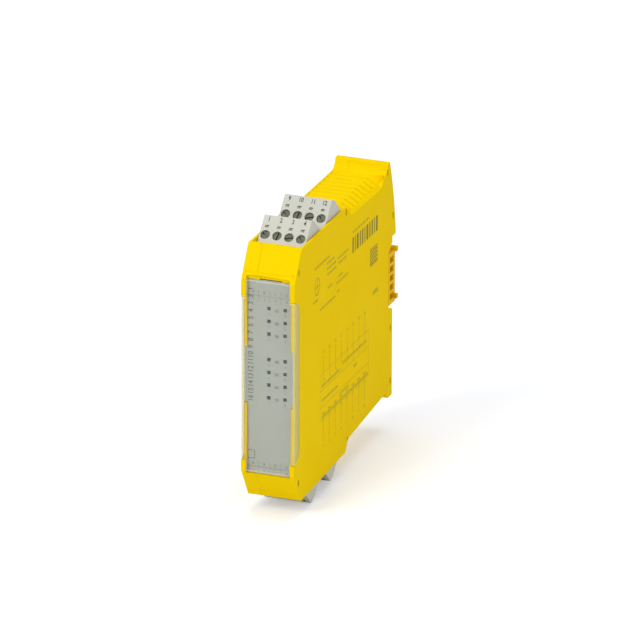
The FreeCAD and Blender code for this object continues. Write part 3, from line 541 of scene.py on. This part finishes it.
def makePlugPrint(level, row):
    slope = math.sqrt(0.5)                       # the plugs stand at 45 degrees
    side = 1 if level == "upper" else -1
    up = np.array([0, side * slope, slope])
    outward = np.array([0, -slope, side * slope])
    node = nodes[f"plug_{level}_{row}"].data
    corners = np.zeros(len(node.vertices) * 3)
    node.vertices.foreach_get("co", corners)
    corners = corners.reshape(-1, 3)
    out = corners @ outward
    face = corners[out > out.max() - plugPrint["faceDeep"] * mm]
    far = (face @ (side * up)).max() * side      # the end of the face away from the wire entry
    centre = (face[:, 0].min() + face[:, 0].max()) / 2
    origin = np.array([centre, 0, 0]) + outward * out.max() + up * far
    bars, numbers = [], []
    wide, tall = plugPrint["mark"]
    y = -side * plugPrint["markDown"]
    for pole in range(plugPrint["poles"]):
        x = (pole - (plugPrint["poles"] - 1) / 2) * plugPrint["pitch"]
        text = str(plugNumbers[level, row] + pole)
        numbers.append((text, x, -side * plugPrint["numberDown"], plugPrint["number"],
                        plugPrint["squeeze"], 0))
        for step in plugPrint["strokes"]:
            bars.append((x + step * wide, y - tall / 2, x + step * wide, y + tall / 2, plugPrint["stroke"]))
        bars.append((x - wide * 0.5, y + tall / 2, x + wide * 0.5, y + tall / 2, plugPrint["stroke"]))
    name = f"numbers{level.capitalize()}{row.capitalize()}"
    makePrint(name, f"plug_{level}_{row}", "blackInk", (origin, (1, 0, 0), up), bars, numbers)


for level, row in plugRows:
    makePlugPrint(level, row)
print("numbers on", len(plugNumbers), "plugs")

# print on the panel, in mm across from the middle and in height: numbers under and between the lights,
# number tables at both ends, a column of numbers down the left and an empty frame under it
panelPrint = {"lights": (-0.3, 6.5), "top": 28.6, "pitch": 5.35, "rows": (0, 1, 2, 4, 5, 6, 7),
              "underLight": (2.2, 1.25, 0.6), "betweenLights": (-0.1, -0.6, 1.3),
              "tableColumns": (-6.9, -2.2, 2.4, 7.2), "tables": ((33.5, 1), (-38.5, 5)), "secondRow": 8,
              "tableNumber": (1.35, 1.2, 0.7), "divider": (2.3, 2.5), "tableLine": (-9.2, 9.5), "line": 0.12,
              "column": (16, -8.0, 36.0, 3.05), "columnNumber": (2.3, 0.9),
              "frame": (-9.4, -6.2, -35.2, -31.8), "frameLine": 0.25}


def makePanelPrint():
    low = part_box("front_panel")[0]
    size = panelPrint
    line = size["line"]
    bars, numbers = [], []
    down, tall, squeeze = size["underLight"]
    across, lift, tens = size["betweenLights"]
    for count, row in enumerate(size["rows"]):
        y = size["top"] - row * size["pitch"]
        for side, x in enumerate(size["lights"]):
            numbers.append((str(side + 1), x, y - down, tall, squeeze, 0))
        numbers.append((f"{count + 1}0", sum(size["lights"]) / 2 + across, y + lift, tens, 1.0, 0))
    away, tall, squeeze = size["tableNumber"]
    aside, reach = size["divider"]
    for base, first in size["tables"]:
        for column, x in enumerate(size["tableColumns"]):
            numbers.append((str(first + column), x, base - away, tall, squeeze, 0))
            numbers.append((str(first + size["secondRow"] + column), x, base + away, tall, squeeze, 0))
            bars.append((x + aside, base - reach, x + aside, base + reach, line))
        left, right = size["tableLine"]
        bars.append((left, base, right, base, line))
    many, x, top, step = size["column"]
    for count in range(many):
        numbers.append((str(count + 1), x, top - count * step, *size["columnNumber"], 90))
    left, right, lower, upper = size["frame"]
    corners = ((left, lower), (right, lower), (right, upper), (left, upper), (left, lower))
    bars += [start + end + (size["frameLine"],) for start, end in zip(corners, corners[1:])]
    origin = (0, low[1], -railHeight * mm)
    makePrint("panelPrint", "module", "greyInk", (origin, (1, 0, 0), (0, 0, 1)), bars, numbers)


makePanelPrint()
print("panel print ready")

# print on the right plate, in mm of depth and height: a contact diagram, runs of small print, a ring with
# a cross, a bar block and a checked square; only the poles' plain numbers can be read
platePrint = {"frame": (28.4, 82.8, -27.0, -7.6), "dividers": (-14.6, -21.6), "frameLine": 0.14,
              "poles": 8, "firstPole": 32.1, "polePitch": 6.62, "upperFirst": 9, "upperNumber": 1.2,
              "lowerFirst": 1, "lowerNumber": -38.4, "number": (1.7, 0.75), "terminal": (0.6, 0.22, 12),
              "terminals": (-7.0, -28.0), "ring": (24.9, 31.2, 2.7, 3.5, 0.45), "cross": (2.3, 2.8, 0.4),
              "barBlock": (64.0, 93.0, 31.4, 37.9), "barWidths": (1.5, 0.9, 2.0, 1.2), "barGap": 1.3,
              "square": (84.6, 92.6, 18.7, 26.0), "checks": 9, "squareLine": 0.4}

# each pole of the diagram: lines as steps across from the pole, heights and width
poleLines = ((0, -0.4, 0, -6.4, 0.3), (0, -28.6, 0, -36.6, 0.3), (0, -8.0, 0, -9.6, 0.25),
             (0, -9.6, 1.5, -12.0, 0.3), (0, -12.2, 0, -14.2, 0.25), (-1.4, -24.6, 1.4, -24.6, 0.5),
             (0, -24.6, 0, -27.4, 0.25))

# runs of small print: from, to, height on the plate and height of the letters
smallPrint = ((30.2, 50.5, -12.8, 0.9), (54.0, 80.0, -11.3, 0.9), (30.3, 48.3, -18.9, 0.9),
              (49.8, 60.4, -23.2, 0.8), (66.0, 69.5, -17.2, 1.1), (30.4, 82.2, -26.0, 0.9),
              (22.0, 38.3, 39.4, 1.0), (35.7, 44.0, 37.0, 0.9), (35.8, 46.0, 34.7, 0.9),
              (36.2, 46.2, 32.3, 0.9), (47.7, 59.7, 35.0, 0.9), (48.5, 57.5, 32.7, 0.9),
              (48.5, 53.4, 27.2, 0.9), (46.3, 58.7, 25.0, 0.9), (36.6, 42.2, 26.5, 0.8),
              (28.1, 44.8, 20.2, 0.9), (64.4, 82.5, 40.1, 0.8), (20.5, 26.0, 25.6, 0.9),
              (47.0, 50.0, 21.2, 0.9), (87.5, 93.6, 6.2, 1.6))


# the diagram: a framed table, with a numbered terminal and a contact for each pole
def contactDiagram():
    size = platePrint
    left, right, low, high = size["frame"]
    line = size["frameLine"]
    bars = [(left, y, right, y, line) for y in (low, high, *size["dividers"])]
    bars += [(x, low, x, high, line) for x in (left, right)]
    numbers = []
    radius, width, steps = size["terminal"]
    for pole in range(size["poles"]):
        x = size["firstPole"] + pole * size["polePitch"]
        numbers.append((str(size["upperFirst"] + pole), x, size["upperNumber"], *size["number"], 0))
        numbers.append((str(size["lowerFirst"] + pole), x, size["lowerNumber"], *size["number"], 0))
        bars += [(x + x0, y0, x + x1, y1, wide) for x0, y0, x1, y1, wide in poleLines]
        for y in size["terminals"]:
            bars += ringBars(x, y, radius, radius, width, steps)
    return bars, numbers


# a plain ring with a cross in it
def crossedRing():
    x, y, radiusX, radiusY, width = platePrint["ring"]
    across, up, line = platePrint["cross"]
    cross = [(x, y - up, x, y + up, line), (x - across, y, x + across, y, line)]
    return ringBars(x, y, radiusX, radiusY, width) + cross


# upright bars of an even rhythm, and a square of plain checks with a line on two sides
def barsAndChecks():
    size = platePrint
    x, x1, y0, y1 = size["barBlock"]
    bars, widths = [], cycle(size["barWidths"])
    while x < x1:
        width = min(next(widths), x1 - x)
        bars.append((x + width / 2, y0, x + width / 2, y1, width))
        x = x + width + size["barGap"]
    x0, x1, y0, y1 = size["square"]
    cellX, cellY = (x1 - x0) / size["checks"], (y1 - y0) / size["checks"]
    for column in range(size["checks"]):
        x = x0 + (column + 0.5) * cellX
        for line in range(column % 2, size["checks"], 2):
            y = y0 + line * cellY
            bars.append((x, y, x, y + cellY, cellX))
    return bars + [(x0, y0, x1, y0, size["squareLine"]), (x0, y0, x0, y1, size["squareLine"])]


def makePlatePrint():
    faint, numbers = contactDiagram()
    for run in smallPrint:
        faint += dashRun(*run)
    faint += crossedRing()
    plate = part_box("housing_body")[1][0]
    face = ((plate, -frontDepth * mm, -railHeight * mm), (0, 1, 0), (0, 0, 1))
    makePrint("platePrint", "module", "oliveInk", face, faint, numbers)
    makePrint("plateBars", "module", "bronzeInk", face, barsAndChecks(), [])


makePlatePrint()
print("plate print ready")

# camera: long lens, from the front right and above
view = {"azimuth": 20.7048, "elevation": 21.0593, "distance": 3949.17 * mm, "roll": 0.0033,
        "target": (4.8255 * mm, -65.0 * mm, 4.1476 * mm), "lens": 562.5, "sensor": 36.0,
        "clip": (0.1, 30.0)}


def makeCamera():
    azimuth, elevation = math.radians(view["azimuth"]), math.radians(view["elevation"])
    back = Vector((math.sin(azimuth) * math.cos(elevation), -math.cos(azimuth) * math.cos(elevation),
                   math.sin(elevation)))
    data = bpy.data.cameras.new("camera")
    data.lens, data.sensor_width = view["lens"], view["sensor"]
    data.clip_start, data.clip_end = view["clip"]
    camera = addObject("camera", data)
    turn = back.to_track_quat("Z", "Y") @ Matrix.Rotation(view["roll"], 3, "Z").to_quaternion()
    place = Matrix.Translation(Vector(view["target"]) + back * view["distance"])
    camera.matrix_world = place @ turn.to_matrix().to_4x4()
    bpy.context.scene.camera = camera


makeCamera()

# floor, world and lamps: the floor is brighter and cooler to the eye than to the light it throws back
studio = {"floorSize": 3.0, "floorTone": "F2F2F2", "floorSeen": 1.3, "floorCool": (0.98, 1.0, 1.06),
          "whiteShare": 0.28, "sky": 0.48}


# 1 for what the camera sees, straight on, in a gloss or through something clear, and 0 for other light
def seenRays(tree):
    path = addNode(tree, "ShaderNodeLightPath")
    either = addNode(tree, "ShaderNodeMath", None, {0: (path, "Is Camera Ray"), 1: (path, "Is Glossy Ray")},
                     operation="MAXIMUM")
    return addNode(tree, "ShaderNodeMath", None, {0: (either, 0), 1: (path, "Is Transmission Ray")},
                   operation="MAXIMUM")


def makeFloor():
    low = cadBounds[0][2]
    half = studio["floorSize"] / 2
    mesh = bpy.data.meshes.new("floor")
    corners = [(-half, -half, low), (half, -half, low), (half, half, low), (-half, half, low)]
    mesh.from_pydata(corners, [], [(0, 1, 2, 3)])
    floor = addObject("floor", mesh)
    material, tree = newMaterial("studioFloor")
    seen = seenRays(tree)
    share = addNode(tree, "ShaderNodeMath", {1: studio["whiteShare"]}, {0: (seen, 0)}, operation="MULTIPLY")
    tone = hexColour(studio["floorTone"])
    bright = tuple(studio["floorSeen"] * cool * part for cool, part in zip(studio["floorCool"], tone))
    colour = addNode(tree, "ShaderNodeMix", {"A": tone, "B": bright + (1.0,)}, {"Factor": (seen, 0)},
                     data_type="RGBA")
    matte = addNode(tree, "ShaderNodeBsdfDiffuse", None, {"Color": (colour, "Result")})
    white = addNode(tree, "ShaderNodeEmission", {"Color": (1, 1, 1, 1), "Strength": 1.0})
    mixed = addNode(tree, "ShaderNodeMixShader", None, {"Fac": (share, 0), 1: (matte, 0), 2: (white, 0)})
    finishMaterial(tree, mixed)
    mesh.materials.append(material)


def makeWorld():
    world = bpy.data.worlds.new("studio")
    world.use_nodes = True
    tree = world.node_tree
    tree.nodes.clear()
    strength = addNode(tree, "ShaderNodeMapRange", {"To Min": studio["sky"], "To Max": 1.0},
                       {"Value": (seenRays(tree), 0)})
    back = addNode(tree, "ShaderNodeBackground", {"Color": (1, 1, 1, 1)}, {"Strength": (strength, "Result")})
    addNode(tree, "ShaderNodeOutputWorld", links={"Surface": (back, 0)})
    bpy.context.scene.world = world


# soft lamps at the front left, at the right and above: places and sizes in metres, power in watts
lamps = {
    "keyLamp": {"place": (-0.55, -1.1, 0.9), "size": 0.8, "power": 10.5},
    "fillLamp": {"place": (1.3, -0.6, 0.5), "size": 1.0, "power": 4.3},
    "topLamp": {"place": (0.0, 0.2, 1.4), "size": 1.0, "power": 7.0},
}


def makeLamps():
    aim = Vector(view["target"])
    for name, lamp in lamps.items():
        data = bpy.data.lights.new(name, "AREA")
        data.size, data.energy = lamp["size"], lamp["power"]
        light = addObject(name, data)
        place = Vector(lamp["place"])
        turn = (place - aim).to_track_quat("Z", "Y").to_matrix().to_4x4()
        light.matrix_world = Matrix.Translation(place) @ turn


makeFloor()
makeWorld()
makeLamps()
bpy.context.scene.view_settings.view_transform = "Standard"
print("stage ready")
